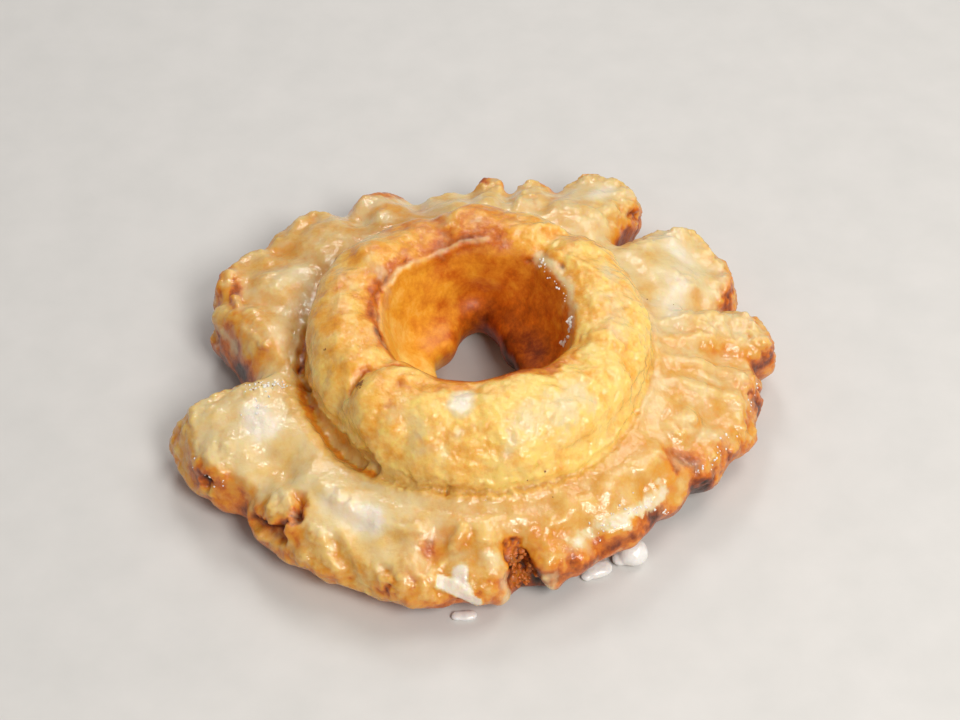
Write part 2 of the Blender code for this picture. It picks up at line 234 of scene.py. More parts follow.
class Skin:
    """The points of a closed skin, held as arrays in millimetres about the axis of the hole."""

    WAVER_SIZE: ClassVar[float] = 1.8
    points: np.ndarray
    normals: np.ndarray
    radius: np.ndarray
    bearing: np.ndarray
    height: np.ndarray

    def __init__(self, obj: bpy.types.Object, axis: Vector) -> None:
        """Read the mesh of an object.

        Args:
            obj: The object, which sits at the origin.
            axis: Where the hole's axis meets the ground, in metres.
        """
        self.mesh: bpy.types.Mesh = obj.data
        self.axis: np.ndarray = np.array([axis.x, axis.y, 0.0])
        ends = np.empty(len(self.mesh.edges) * 2, np.int32)
        self.mesh.edges.foreach_get("vertices", ends)
        self.ends: np.ndarray = ends.reshape(-1, 2)
        self.count: int = len(self.mesh.vertices)
        self.valence: np.ndarray = np.bincount(self.ends.ravel(), minlength=self.count).astype(float)
        self.read()
        layers = (grain(self.points, self.WAVER_SIZE, Grain.SWELL, 3, 50.0 * k) for k in range(3))
        self.waver: np.ndarray = np.stack(list(layers), axis=1)

    def read(self) -> None:
        """Take the points, the normals and the places round the axis from the mesh."""
        points = np.empty(self.count * 3)
        self.mesh.vertices.foreach_get("co", points)
        self.points = (points.reshape(-1, 3) - self.axis) / MM
        normals = np.empty(self.count * 3, np.float32)
        self.mesh.vertex_normals.foreach_get("vector", normals)
        self.normals = normals.reshape(-1, 3).astype(float)
        self.radius = np.hypot(self.points[:, 0], self.points[:, 1])
        self.bearing = np.degrees(np.arctan2(self.points[:, 1], self.points[:, 0])) % 360.0
        self.height = self.points[:, 2]

    def move(self, depth: np.ndarray, calm: int = 0) -> None:
        """Move every point outwards, and read the skin again.

        Args:
            depth: How far each point moves, in millimetres.
            calm: How many times the normals are averaged first, so that a deep move doesn't fold the skin.
        """
        outward = self.blurred(self.normals, calm)
        outward /= np.linalg.norm(outward, axis=1, keepdims=True)
        self.put(self.points + outward * depth[:, None])

    def put(self, points: np.ndarray) -> None:
        """Give the mesh new points, and read the skin again.

        Args:
            points: The new points, in millimetres about the axis.
        """
        self.mesh.vertices.foreach_set("co", (points * MM + self.axis).astype(np.float32).ravel())
        self.mesh.update()
        self.read()

    def blurred(self, values: np.ndarray, rounds: int) -> np.ndarray:
        """Average values with their neighbours' a number of times.

        Args:
            values: One value or one row for each point.
            rounds: How many times.

        Returns:
            The averaged values.
        """
        first, second = self.ends.T
        columns = []
        for column in np.atleast_2d(values.T):
            for _ in range(rounds):
                total = np.bincount(first, column[second], self.count)
                total += np.bincount(second, column[first], self.count)
                column = 0.3 * column + 0.7 * total / self.valence
            columns.append(column)
        return columns[0] if values.ndim == 1 else np.stack(columns, axis=1)

    def bulge(self, rounds: int) -> np.ndarray:
        """Return how many millimetres each point stands out of surroundings as wide as the rounds make them."""
        return np.einsum("ij,ij->i", self.points - self.blurred(self.points, rounds), self.normals)

    def lookup(self, table: Table, column: int = 1) -> np.ndarray:
        """Return what a table of bearings and values gives at each point's own bearing."""
        rows = np.array(table)
        return np.interp(self.bearing, rows[:, 0], rows[:, column], period=360.0)

    def share(self, stroke: Stroke) -> np.ndarray:
        """Work out how much of a stroke each point gets.

        Args:
            stroke: The stroke.

        Returns:
            The stroke's strength in its core, falling to 0 at its width.
        """
        line = stroke.points()
        own = (self.points + stroke.ragged * self.waver)[:, : line.shape[1]]
        nearest = np.linalg.norm(own - line[0], axis=1)
        for start, end in zip(line, line[1:]):
            along = np.clip((own - start) @ (end - start) / np.sum((end - start) ** 2), 0.0, 1.0)
            nearest = np.minimum(nearest, np.linalg.norm(own - start - along[:, None] * (end - start), axis=1))
        return stroke.strength * ease(nearest, stroke.width, stroke.core)

    def total(self, strokes: tuple[Stroke, ...]) -> np.ndarray:
        """Return the sum of what several strokes give each point."""
        return sum((self.share(stroke) for stroke in strokes), np.zeros(self.count))

    def paint(self, name: str, values: np.ndarray) -> None:
        """Keep one value for each point as a named attribute of the mesh."""
        layer = self.mesh.attributes.new(name, "FLOAT", "POINT")
        layer.data.foreach_set("value", values.astype(np.float32))


class Nodes:
    """A material's node tree, with short calls to add to it."""

    def __init__(self, name: str) -> None:
        """Start a material with one shader.

        Args:
            name: The material's name.
        """
        self.material: bpy.types.Material = bpy.data.materials.new(name)
        self.material.use_nodes = True
        self.tree: bpy.types.NodeTree = self.material.node_tree
        self.shader: bpy.types.Node = self.tree.nodes["Principled BSDF"]
        self.place: bpy.types.NodeSocket = self.add("ShaderNodeTexCoord").outputs["Object"]

    def add(self, kind: str, **settings: object) -> bpy.types.Node:
        """Add a node.

        Args:
            kind: The node's type.
            settings: Its properties by name.

        Returns:
            The node.
        """
        node = self.tree.nodes.new(kind)
        for name, value in settings.items():
            setattr(node, name, value)
        return node

    def link(self, value: object, socket: bpy.types.NodeSocket) -> None:
        """Feed a socket from another one, or set it to a constant.

        Args:
            value: An output socket, or a number or colour.
            socket: The socket that is fed.
        """
        if isinstance(value, bpy.types.NodeSocket):
            self.tree.links.new(value, socket)
        else:
            socket.default_value = value

    def attribute(self, name: str) -> bpy.types.NodeSocket:
        """Read a painted attribute, and return its value."""
        return self.add("ShaderNodeAttribute", attribute_name=name).outputs["Fac"]

    def noise(self, size: float, detail: float = 3.0, rough: float = 0.55) -> bpy.types.NodeSocket:
        """Add a noise texture.

        Args:
            size: The size of its features in metres.
            detail: How many finer layers it has.
            rough: How strong the finer layers are.

        Returns:
            Its value, about 0.5 on average.
        """
        node = self.add("ShaderNodeTexNoise")
        self.link(self.place, node.inputs["Vector"])
        node.inputs["Scale"].default_value = 1.0 / size
        node.inputs["Detail"].default_value = detail
        node.inputs["Roughness"].default_value = rough
        return node.outputs["Fac"]

    def math(
        self, operation: str, first: object, second: object = 0.0, clamp: bool = False
    ) -> bpy.types.NodeSocket:
        """Add a sum on two values.

        Args:
            operation: The operation's name.
            first: A socket or a number.
            second: A socket or a number.
            clamp: Whether the result is kept between 0 and 1.

        Returns:
            The result.
        """
        node = self.add("ShaderNodeMath", operation=operation, use_clamp=clamp)
        self.link(first, node.inputs[0])
        self.link(second, node.inputs[1])
        return node.outputs[0]

    def ramp(self, value: object, stops: Stops) -> bpy.types.NodeSocket:
        """Add a colour ramp.

        Args:
            value: The socket that runs along it.
            stops: Where each colour stands, and the colour.

        Returns:
            The colour.
        """
        node = self.add("ShaderNodeValToRGB")
        self.link(value, node.inputs["Fac"])
        elements = node.color_ramp.elements
        while len(elements) < len(stops):
            elements.new(1.0)
        for element, (position, colour) in zip(elements, stops):
            element.position = position
            element.color = (*colour, 1.0)
        return node.outputs["Color"]

    def span(
        self, value: object, low: float, high: float, start: float = 0.0, end: float = 1.0
    ) -> bpy.types.NodeSocket:
        """Map one range smoothly onto another.

        Args:
            value: The socket that is mapped.
            low: The input that gives start.
            high: The input that gives end.
            start: The first output.
            end: The last output.

        Returns:
            The mapped value.
        """
        node = self.add("ShaderNodeMapRange", interpolation_type="SMOOTHSTEP")
        for name, number in zip(("From Min", "From Max", "To Min", "To Max"), (low, high, start, end)):
            node.inputs[name].default_value = number
        self.link(value, node.inputs["Value"])
        return node.outputs["Result"]

    def mix(self, share: object, first: object, second: object, blend: str = "MIX") -> bpy.types.NodeSocket:
        """Mix two colours.

        Args:
            share: How much of the second colour shows.
            first: A colour or a socket.
            second: A colour or a socket.
            blend: How the second colour is laid on the first.

        Returns:
            The mixed colour.
        """
        node = self.add("ShaderNodeMix", data_type="RGBA", blend_type=blend)
        self.link(share, node.inputs["Factor"])
        for value, socket in ((first, node.inputs[6]), (second, node.inputs[7])):
            self.link((*value, 1.0) if isinstance(value, tuple) else value, socket)
        return node.outputs[2]

    def bump(self, height: object, depth: float, normal: object = None) -> bpy.types.NodeSocket:
        """Add a bump.

        Args:
            height: The socket that gives the height, from 0 to 1.
            depth: How deep it is, in metres.
            normal: The normal of a bump under it.

        Returns:
            The normal.
        """
        node = self.add("ShaderNodeBump")
        node.inputs["Distance"].default_value = depth
        self.link(height, node.inputs["Height"])
        if normal is not None:
            self.link(normal, node.inputs["Normal"])
        return node.outputs["Normal"]

    def set(self, **values: object) -> None:
        """Set or feed the shader's sockets, each by its name with _ for each space."""
        for name, value in values.items():
            self.link(value, self.shader.inputs[name.replace("_", " ")])


@dataclass(frozen=True)
class CrustFinish:
    """Fried dough under a sugar glaze that is clear where it is thin and milky where it is thick."""

    butter: Colour = (0.95, 0.65, 0.18)
    golden: Colour = (0.84, 0.38, 0.03)
    amber: Colour = (0.62, 0.155, 0.008)
    brown: Colour = (0.26, 0.044, 0.003)
    dark: Colour = (0.05, 0.010, 0.002)
    tan: Colour = (0.84, 0.80, 0.84)
    milk: Colour = (0.80, 0.65, 0.36)
    white: Colour = (0.90, 0.83, 0.70)
    glow: Colour = (1.0, 0.58, 0.26)
    glow_depth: float = 1.5 * MM
    roughness: float = 0.4
    coat_roughness: float = 0.15

    def material(self) -> bpy.types.Material:
        """Build the material, which reads what is painted on the skin.

        Returns:
            The material.
        """
        nodes = Nodes("fried_crust")
        # The frying share also carries painted shade, and the glaze share painted highlights and reflections
        # laid in as thicker glaze.
        frying_and_shade = nodes.attribute("frying_and_shade")
        glaze = nodes.attribute("glaze")
        grit = nodes.attribute("grit")
        ring = nodes.attribute("ring")
        patches = nodes.math("SUBTRACT", nodes.noise(2.4 * MM, 4.0), 0.5)
        flecks = nodes.math("SUBTRACT", nodes.noise(0.6 * MM, 3.0, 0.65), 0.5)
        uneven = nodes.math("ADD", nodes.math("MULTIPLY", patches, 0.42), nodes.math("MULTIPLY", flecks, 0.22))
        level = nodes.math("ADD", frying_and_shade, uneven, clamp=True)
        colours = (self.butter, self.golden, self.amber, self.brown, self.dark)
        stops = tuple(zip((0.0, 0.3, 0.55, 0.8, 1.0), colours))
        pale = nodes.math("MULTIPLY", nodes.math("SUBTRACT", 1.0, ring), nodes.span(level, 0.45, 0.2))
        dough = nodes.mix(pale, nodes.ramp(level, stops), self.tan, "MULTIPLY")
        # Painted highlights and reflections reach the colour here too, as milky and white glaze.
        streaks = nodes.math("SUBTRACT", nodes.noise(1.5 * MM, 5.0, 0.6), 0.5)
        thickness = nodes.math("ADD", glaze, nodes.math("MULTIPLY", streaks, 0.6))
        cover = nodes.span(thickness, 0.05, 1.0, 0.0, 0.88)
        veil = nodes.span(nodes.attribute("shade"), 0.0, 1.0, 1.0, 0.1)
        sugar = nodes.mix(nodes.span(thickness, 0.8, 2.1), self.milk, self.white)
        nodes.set(
            Base_Color=nodes.mix(cover, dough, sugar),
            Roughness=self.roughness,
            Subsurface_Weight=0.85,
            Subsurface_Radius=self.glow,
            Subsurface_Scale=self.glow_depth,
            Coat_Weight=nodes.math("MULTIPLY", veil, nodes.span(level, 0.3, 0.6, 0.9, 0.5)),
            Coat_Roughness=self.coat_roughness,
            Coat_IOR=1.5,
            Specular_IOR_Level=0.3,
        )
        wrinkles = nodes.noise(1.8 * MM, 4.0, 0.5)
        folds = nodes.math("MULTIPLY", wrinkles, nodes.math("ADD", nodes.math("MULTIPLY", grit, 0.8), 0.2))
        grains = nodes.math("MULTIPLY", nodes.noise(0.5 * MM, 2.0), veil)
        nodes.set(
            Normal=nodes.bump(grains, 0.05 * MM, nodes.bump(folds, 0.25 * MM)),
            Coat_Normal=nodes.bump(folds, 0.7 * MM),
        )
        return nodes.material


# Paths that are both shaped and painted: a pit and a hollow at the front left, and the chip of white icing.
DEEP_PIT: tuple[Place, ...] = ((227.4, 38.6, 12.6), (229.5, 40.4, 12.0), (230, 41.8, 10.6))
SIDE_HOLLOW: tuple[Place, ...] = ((221, 44.4, 7.0), (225, 44.2, 7.6), (229, 43.6, 8.0))
CHIP: tuple[Place, ...] = ((262.6, 41.7, 7.9), (266, 42.1, 7.4), (268, 42.4, 6.6), (270, 42.7, 5.4))


@dataclass(frozen=True)
class Parts:
    """How much each point of the skin belongs to each part of the doughnut, and how far it stands out."""

    ring: np.ndarray
    skirt: np.ndarray
    hole: np.ndarray
    side: np.ndarray
    fringe: np.ndarray
    top: np.ndarray
    torn: np.ndarray
    relief: np.ndarray


@dataclass
class Crust:
    """The doughnut's whole surface: ring, skirt and hole in one closed skin."""

    voxel: float = 0.36 * MM
    faces: int = 194000
    crag: float = 3.0
    knob: float = 1.2
    moat_rounds: int = 6
    moat_left_open: float = 0.38
    ring_lap: float = 0.3
    resting: float = 0.12
    finish: CrustFinish = CrustFinish()

    # Where the ring's crust ends above the skirt, as bearings, radii and heights.
    RING_EDGE: ClassVar[Table] = (
        (0, 27.2, 13.0), (60, 26.8, 12.8), (110, 26.8, 12.4), (172, 26.6, 11.4), (201, 27.4, 11.0),
        (220, 27.6, 11.0), (233, 28.2, 12.4), (245, 28.8, 14.2), (265, 29.2, 15.0), (277, 29.3, 14.0),
        (290, 29.4, 13.9), (305, 29.4, 13.4), (314, 29.2, 13.4), (322, 28.4, 13.2), (335, 27.8, 13.0),
    )

    # How fried the ring is, and how fried the skirt's side is, as bearings and shares.
    RING_FRYING: ClassVar[Table] = (
        (0, 0.10), (40, 0.17), (65, 0.22), (88, 0.40), (112, 0.42), (135, 0.28), (165, 0.24), (200, 0.20),
        (222, 0.18), (242, 0.13), (262, 0.07), (285, 0.0), (320, 0.02),
    )
    SIDE_FRYING: ClassVar[Table] = (
        (0, 0.40), (60, 0.40), (120, 0.38), (150, 0.42), (160, 0.46), (176, 0.54), (190, 0.32), (205, 0.36),
        (214, 0.44), (222, 0.50), (232, 0.28), (250, 0.22), (262, 0.42), (272, 0.34), (280, 0.50), (289, 0.46),
        (302, 0.54), (318, 0.50), (330, 0.38), (345, 0.36),
    )

    # How far the skirt's foot is drawn in, in millimetres.
    FOOT: ClassVar[Table] = ((287, 0.0), (294, 2.0), (310, 2.0), (317, 0.8), (323, 0.0))

    # How craggy the skirt's upper edge is.
    CRAGS: ClassVar[Table] = (
        (0, 1.2), (30, 1.2), (90, 1.0), (104, 0.5), (148, 0.6), (158, 0.7), (176, 0.55), (190, 0.8), (232, 1.0),
        (258, 0.9), (270, 0.6), (286, 0.6), (292, 0.25), (318, 0.25), (328, 0.9),
    )

    # How fried the skirt's top is, and how milky the glaze on it, as bearings and shares.
    TOP_FRYING: ClassVar[Table] = (
        (0, 0.17), (20, 0.11), (45, 0.08), (95, 0.12), (115, 0.28), (135, 0.18), (180, 0.16), (192, 0.06),
        (250, 0.06), (264, 0.12), (285, 0.16), (322, 0.16), (336, 0.12),
    )
    TOP_GLAZE: ClassVar[Table] = (
        (0, 0.45), (20, 0.60), (45, 0.60), (95, 0.48), (115, 0.32), (130, 0.36), (178, 0.40), (192, 0.60),
        (250, 0.60), (264, 0.42), (285, 0.25), (322, 0.25), (340, 0.42),
    )

    # The crack beside the ring: open and deep on the left, a hairline the rest of the way round.
    CRACKS: ClassVar[tuple[Stroke, ...]] = (
        Stroke(((193, 28.0), (199, 28.1), (206, 28.4), (214, 28.3), (223, 28.4), (232, 29.0), (238, 29.6)),
               1.05, -2.4, 0.3, 0.5),
        Stroke(((168, 27.3), (177, 27.6), (186, 27.9), (193, 28.0)), 0.9, -1.1, 0.2, 0.4),
        Stroke(((236, 29.0), (245, 29.8), (254, 30.0), (262, 30.0)), 0.7, -0.8, 0.1, 0.5),
        Stroke(((262, 30.0), (275, 29.9), (289, 29.8), (300, 29.8), (314, 29.4), (330, 28.2)),
               0.6, -0.7, 0.1, 0.3),
        Stroke(((330, 28.0), (350, 27.8), (10, 27.6), (40, 27.4), (70, 27.4), (110, 27.4), (150, 27.6),
                (186, 27.6)), 0.8, -0.5, 0.1, 0.4),
    )

    # Pits, dents and pores, from the left round the front to the right, and then the ring's.
    PITS: ClassVar[tuple[Stroke, ...]] = (
        Stroke(DEEP_PIT, 1.5, -2.0, 0.1, 0.5),
        Stroke(SIDE_HOLLOW, 1.7, -1.6, 0.8),
        Stroke(((209, 47.2, 6.8), (209, 46.6, 8.2)), 1.3, -1.2, 0.3),
        Stroke(((240, 41.6, 10.8), (243, 42.8, 8.8), (245, 43.8, 6.6)), 1.9, -0.8, 0.2),
        Stroke(((252, 42.6, 9.8), (254, 43.6, 6.8)), 1.8, -0.7, 0.2),
        Stroke(((278, 37.0, 10.2), (280, 39.4, 7.2), (281, 40.6, 3.6)), 1.8, -0.8, 0.8, 0.9),
        Stroke(((52, 42.0, 11.0), (52, 43.6, 9.0)), 1.3, -0.9, 0.4),
        Stroke(((36, 16.0, 22.0),), 0.8, -0.6, 0.1),
        Stroke(((57, 14.9, 20.2),), 0.9, -0.5, 0.1),
    )

    # Folds and laps: the ring's left shoulder, its inner edge, and the flap beside the chip.
    FOLDS: ClassVar[tuple[Stroke, ...]] = (
        Stroke(((196, 26.4, 12.4), (210, 26.6, 12.4), (222, 26.9, 12.6), (236, 28.0, 13.2)), 3.2, 1.1, 0.8),
        Stroke(((226, 16.4, 22.4), (222, 17.6, 22.8), (217, 20.7, 22.3), (219, 23.8, 20.9), (223, 25.6, 18.6)),
               1.1, -0.8, 0.1),
        Stroke(((236, 17.2, 22.9), (228, 20.2, 23.0), (228, 23.6, 22.2), (232, 26.0, 19.5)), 2.6, 0.6, 0.6),
        Stroke(((133, 15.6, 21.4), (150, 15.9, 21.4), (166, 15.8, 21.4), (186, 14.8, 21.2), (206, 15.0, 21.0)),
               0.8, -0.45, 0.1, 0.4),
        Stroke(((148, 19.6, 22.5), (150, 16.8, 21.8)), 1.4, 0.22, 0.2),
        Stroke(((152, 15.2), (140, 15.2), (115, 15.4), (100, 15.7), (84, 15.8)), 0.8, 0.4, 0.1, 0.1),
        Stroke(((48, 17.0, 22.0), (30, 18.4, 22.6), (14, 21.4, 22.6)), 1.1, 0.4, 0.2, 0.6),
        Stroke(((72, 18.0, 22.0), (62, 20.0, 22.4), (54, 22.6, 21.8)), 1.3, 0.4, 0.3, 0.6),
        Stroke(((340, 17.0, 22.0), (344, 20.4, 22.6), (340, 23.4, 21.6)), 1.2, 0.35, 0.3, 0.6),
        Stroke(((267, 35.4, 12.9), (264, 38.5, 11.2), (261, 41.3, 8.8), (259, 43.2, 6.4)), 1.3, 0.7, 0.2),
        Stroke(CHIP, 1.3, 0.4, 0.9, 0.25),
        Stroke(((264, 19.2, 22.8), (263, 21.0, 22.6)), 2.2, 0.25, 0.6),
        Stroke(((273, 38.5, 9.8), (274, 40.8, 7.4), (275, 41.6, 4.2)), 2.2, 0.5, 0.3),
        Stroke(((287, 38.0, 9.8), (287, 40.2, 7.2), (286, 41.0, 4.4)), 2.6, 0.5, 0.3),
        Stroke(((162, 40.6, 11.6), (172, 36.6, 12.2), (178, 32.8, 12.8)), 1.1, 0.8, 0.2),
        Stroke(((355, 30.0), (356, 36.0), (357, 43.0)), 1.7, 0.4, 0.2, 0.5),
        Stroke(((3, 30.0), (4, 37.0), (4, 44.0)), 1.7, 0.4, 0.2, 0.5),
        Stroke(((11, 30.0), (12, 36.0), (12, 43.0)), 1.7, 0.4, 0.2, 0.5),
        Stroke(((348, 31.0), (348, 36.0), (349, 41.0)), 1.6, 0.35, 0.2, 0.5),
    )

    # Where the dough is painted darker than its surroundings, or paler: mostly more or less fried, with some
    # strokes of painted shade, as marked.
    SCORCHES_AND_SHADOWS: ClassVar[tuple[Stroke, ...]] = (
        Stroke(((95, 17.0), (84, 17.2)), 3.2, 0.12, 1.0),
        Stroke(((238, 19.2), (250, 17.6), (262, 17.0)), 2.2, 0.24, 0.4, 0.8),
        Stroke(((238, 23.6), (246, 23.4)), 1.0, 0.12, 0.2, 0.8),
        Stroke(((306, 16.6), (318, 16.8), (330, 16.4)), 2.2, 0.30, 0.4, 0.8),
        # Painted shade along the fold on the ring's left shoulder.
        Stroke(((226, 16.4, 22.4), (217, 20.7, 22.3), (219, 23.8, 20.9)), 1.6, 0.20, 0.2, 0.6),
        Stroke(((133, 16.4), (150, 16.8), (166, 16.8), (186, 15.9), (206, 16.2)), 1.1, 0.22, 0.2, 0.6),
        # Two pores on the ring: frying, and painted shade in them.
        Stroke(((36, 16.0, 22.0),), 1.2, 0.2, 0.4),
        Stroke(((57, 15.0, 20.4),), 1.6, 0.2, 0.4),
        # Painted shadow beside the flap's ridge, on its left side.
        Stroke(((262, 36.0), (259, 39.0), (257, 42.0)), 1.8, 0.22, 0.3, 0.8),
        # The deep pit: frying, and painted shade in the recess.
        Stroke(DEEP_PIT, 2.0, 0.5, 0.7, 0.5),
        Stroke(((261, 43.4, 4.0), (268, 42.8, 3.0)), 2.0, 0.2, 0.6),
        # The side hollow and two pits: frying, and painted shade in the recesses.
        Stroke(SIDE_HOLLOW, 2.2, 0.24, 0.8),
        Stroke(((252, 43.0, 9.4), (254, 43.8, 6.6)), 1.6, 0.2, 0.4),
        Stroke(((242, 42.6, 9.0), (245, 43.8, 6.6)), 1.4, 0.16, 0.4),
        # The cavity: frying, and painted shade in the recess.
        Stroke(((277, 36.8, 10.2), (280, 39.4, 7.0), (281, 40.6, 3.0)), 2.4, 0.36, 1.2, 0.8),
        Stroke(((325, 35.4), (327, 38.4), (328, 40.8)), 2.8, 0.42, 0.4, 1.2),
        Stroke(((340, 40.4), (334, 39.4), (328, 38.0)), 2.0, 0.2, 0.4, 1.2),
        Stroke(((185, 27.2), (165, 27.0), (140, 27.0), (115, 27.2), (98, 27.4)), 0.9, 0.4, 0.2, 0.3),
        Stroke(((290, 38.6), (284, 37.0)), 2.0, 0.2, 0.4, 1.0),
        Stroke(((290, 40.0, 8.0), (302, 39.4, 8.4), (313, 39.2, 8.2)), 2.4, 0.24, 1.2, 0.6),
        # The inner edge of the rim at the front: frying, and painted shade.
        Stroke(((196, 15.4), (215, 14.8), (250, 14.9), (280, 14.8), (300, 15.0)), 1.5, 0.38, 0.4, 0.4),
        # A pit: frying, and painted shade in the recess.
        Stroke(((52, 42.6, 10.4),), 2.2, 0.26, 1.0),
        Stroke(((88, 41.0), (88, 43.6)), 2.0, 0.36, 0.6, 0.8),
        Stroke(((72, 41.0), (74, 42.6)), 1.8, 0.3, 0.6, 0.8),
        Stroke(((116, 42.6), (108, 40.6)), 1.8, 0.3, 0.6, 0.8),
        Stroke(((353, 41.6), (352, 43.6)), 2.0, 0.26, 0.6, 0.8),
        Stroke(((27, 45.4), (20, 43.4)), 1.8, 0.3, 0.6, 0.8),
        Stroke(((180, 32.6, 11.6), (182, 34.0, 9.6), (178, 38.0, 6.4)), 2.6, 0.34, 0.8, 0.8),
        Stroke(((156, 42.6, 11.4), (165, 39.6, 11.8), (174, 35.0, 12.4)), 1.5, 0.46, 0.3, 0.6),
        Stroke(((194, 48.0, 7.6), (200, 47.6, 8.2), (208, 46.6, 8.6)), 2.4, 0.22, 0.6, 0.8),
    )

    # Where the glaze lies thicker: milky pools, drips, the drop on the ring and the chip; some pools are painted
    # highlights and reflections, as marked.
    GLAZE_POOLS_AND_HIGHLIGHTS: ClassVar[tuple[Stroke, ...]] = (
        # The left lobe: milky glaze, and a painted reflection of the window light in it.
        Stroke(((203, 36.0),), 6.5, 0.6),
        Stroke(((207, 35.6), (201, 36.2)), 3.4, 1.0, 0.4, 0.6),
        # The front-left lobe: milky glaze, and a painted reflection of the window light.
        Stroke(((234, 36.8), (240, 36.7), (246, 36.5)), 3.2, 0.9, 0.4, 0.6),
        # The right-back lobe: milky glaze, and a painted reflection of the window light.
        Stroke(((40, 41.0), (34, 40.6)), 2.6, 0.6, 0.3, 0.6),
        Stroke(((25, 36.8), (14, 32.0)), 2.6, 0.5, 0.3, 0.6),
        Stroke(((60, 43.4), (61, 40.4)), 2.4, 0.7, 0.3, 0.6),
        Stroke(((155, 33.9), (148, 33.4)), 2.4, 0.45, 0.3, 0.6),
        Stroke(((117, 33.7), (122, 35.6)), 2.6, 0.5, 0.3, 0.6),
        # The front-left lobe again: milky glaze, and a painted reflection of the window light.
        Stroke(((244, 35.0),), 6.0, 0.55),
        # The right-back lobe again: milky glaze, and a painted reflection of the window light.
        Stroke(((42, 41.0), (32, 41.2), (20, 40.4)), 3.4, 0.3, 0.6),
        Stroke(((28, 35.6), (12, 31.0)), 4.0, 0.5, 0.6),
        Stroke(((60, 42.6),), 3.4, 0.5, 0.4),
        Stroke(((122, 40.0), (104, 38.6)), 3.0, 0.5, 0.4),
        Stroke(((160, 36.0), (148, 33.0)), 5.0, 0.15),
        # The white streak on the ring's back left: a painted highlight on a raised fold.
        Stroke(((148, 19.8), (150, 16.6)), 1.8, 0.3, 0.1, 0.8),
        # The bright line along the back of the rim: glaze on a ridge, and a painted highlight.
        Stroke(((150, 15.2), (140, 15.2), (115, 15.4), (100, 15.7), (84, 15.8)), 0.8, 0.5, 0.1, 0.3),
        # The ring's front right: a painted highlight, laid in as cream glaze.
        Stroke(((284, 24.4), (298, 24.0), (312, 23.0)), 4.2, 0.65, 0.6, 1.5),
        Stroke(((240, 24.4), (262, 26.0)), 3.2, 0.3, 0.6, 1.5),
        Stroke(((346, 22.0), (6, 22.4), (26, 21.6)), 2.6, 0.4, 0.4, 1.5),
        # The pale band on the left of the rim: glaze, and a painted highlight.
        Stroke(((204, 15.0), (180, 14.8), (156, 15.2)), 1.3, 0.35, 0.1, 0.6),
        Stroke(((54, 16.2), (40, 15.6), (20, 15.3), (2, 15.2)), 1.5, 0.8, 0.1, 0.8),
        # The drop on the ring: white glaze, and a painted highlight.
        Stroke(((264, 19.2), (263, 21.0)), 2.7, 1.9, 0.4, 0.3),
        Stroke(CHIP, 1.2, 2.2, 0.8, 0.2),
        Stroke(((266.6, 40.8, 9.2), (266.6, 41.8, 8.0), (268, 42.4, 7.0)), 1.5, 2.2, 0.8, 0.2),
        Stroke(((273, 38.5, 9.8), (275, 40.8, 7.0), (276, 41.6, 3.0)), 2.2, 0.6, 0.4, 0.6),
        Stroke(((285, 40.4, 6.4), (285, 40.8, 3.4)), 1.8, 0.7, 0.4, 0.6),
        Stroke(((293, 38.0, 10.3), (300, 37.6, 10.5)), 1.7, 1.2, 0.3, 1.3),
        Stroke(((304, 38.0, 10.2), (310, 38.2, 9.9), (317, 38.0, 9.8)), 1.7, 1.6, 0.4, 1.3),
        Stroke(((167, 42.0, 8.0), (172, 38.2, 10.4), (174, 38.0, 8.0)), 2.0, 0.7, 0.6, 0.6),
    )

    def cast(self, node: bpy.types.Object) -> bpy.types.Object:
        """Cast a fine skin over a copy of the solid.

        Args:
            node: The solid's object.

        Returns:
            The new object, with an even mesh of small faces.
        """
        mesh = node.data.copy()
        mesh.materials.clear()
        crust = new_object("crust", mesh)
        make_active(crust)
        bpy.ops.object.mode_set(mode="EDIT")
        bpy.ops.mesh.select_all(action="SELECT")
        bpy.ops.mesh.remove_doubles(threshold=0.001 * MM)
        bpy.ops.object.mode_set(mode="OBJECT")
        apply_modifier(crust, "SUBSURF", levels=1, render_levels=1)
        apply_modifier(crust, "REMESH", mode="VOXEL", voxel_size=self.voxel)
        apply_modifier(crust, "SMOOTH", factor=0.5, iterations=5)
        return crust

    def fill_moat(self, skin: Skin) -> None:
        """Fill the gap between the ring and the skirt with dough, but less along the open crack.

        Args:
            skin: The crust's skin.
        """
        for _ in range(self.moat_rounds):
            level = skin.blurred(skin.points, 80) - skin.points
            hollow = ease(np.einsum("ij,ij->i", level, skin.normals), 0.0, 0.3)
            moat = between(skin.radius, 23.5, 26.0, 31.0, 35.0) * ease(skin.height, 5.0, 8.0)
            moat *= 1.0 - self.moat_left_open * between(skin.bearing, 186.0, 200.0, 218.0, 252.0)
            skin.put(skin.points + level * (hollow * moat)[:, None])

    def tuck(self, skin: Skin) -> None:
        """Draw the skirt's foot in where glaze ran down over it."""
        pull = skin.lookup(self.FOOT) * ease(skin.height, 7.0, 2.5) * ease(skin.radius, 30.0, 37.0)
        skin.put(skin.points * (1.0 - (pull / skin.radius)[:, None] * np.array([1.0, 1.0, 0.0])))

    def ring(self, skin: Skin) -> np.ndarray:
        """Find the ring and the hole.

        Args:
            skin: The crust's skin.

        Returns:
            How much each point belongs to them, 0 to 1.
        """
        above = ease(skin.height + 0.7 * skin.waver[:, 1] - skin.lookup(self.RING_EDGE, 2), -0.3, 0.3)
        inside = ease(skin.radius + 0.5 * skin.waver[:, 0] - skin.lookup(self.RING_EDGE), 0.3, -0.3)
        return inside * np.maximum(above, ease(skin.radius, 25.0, 23.5))

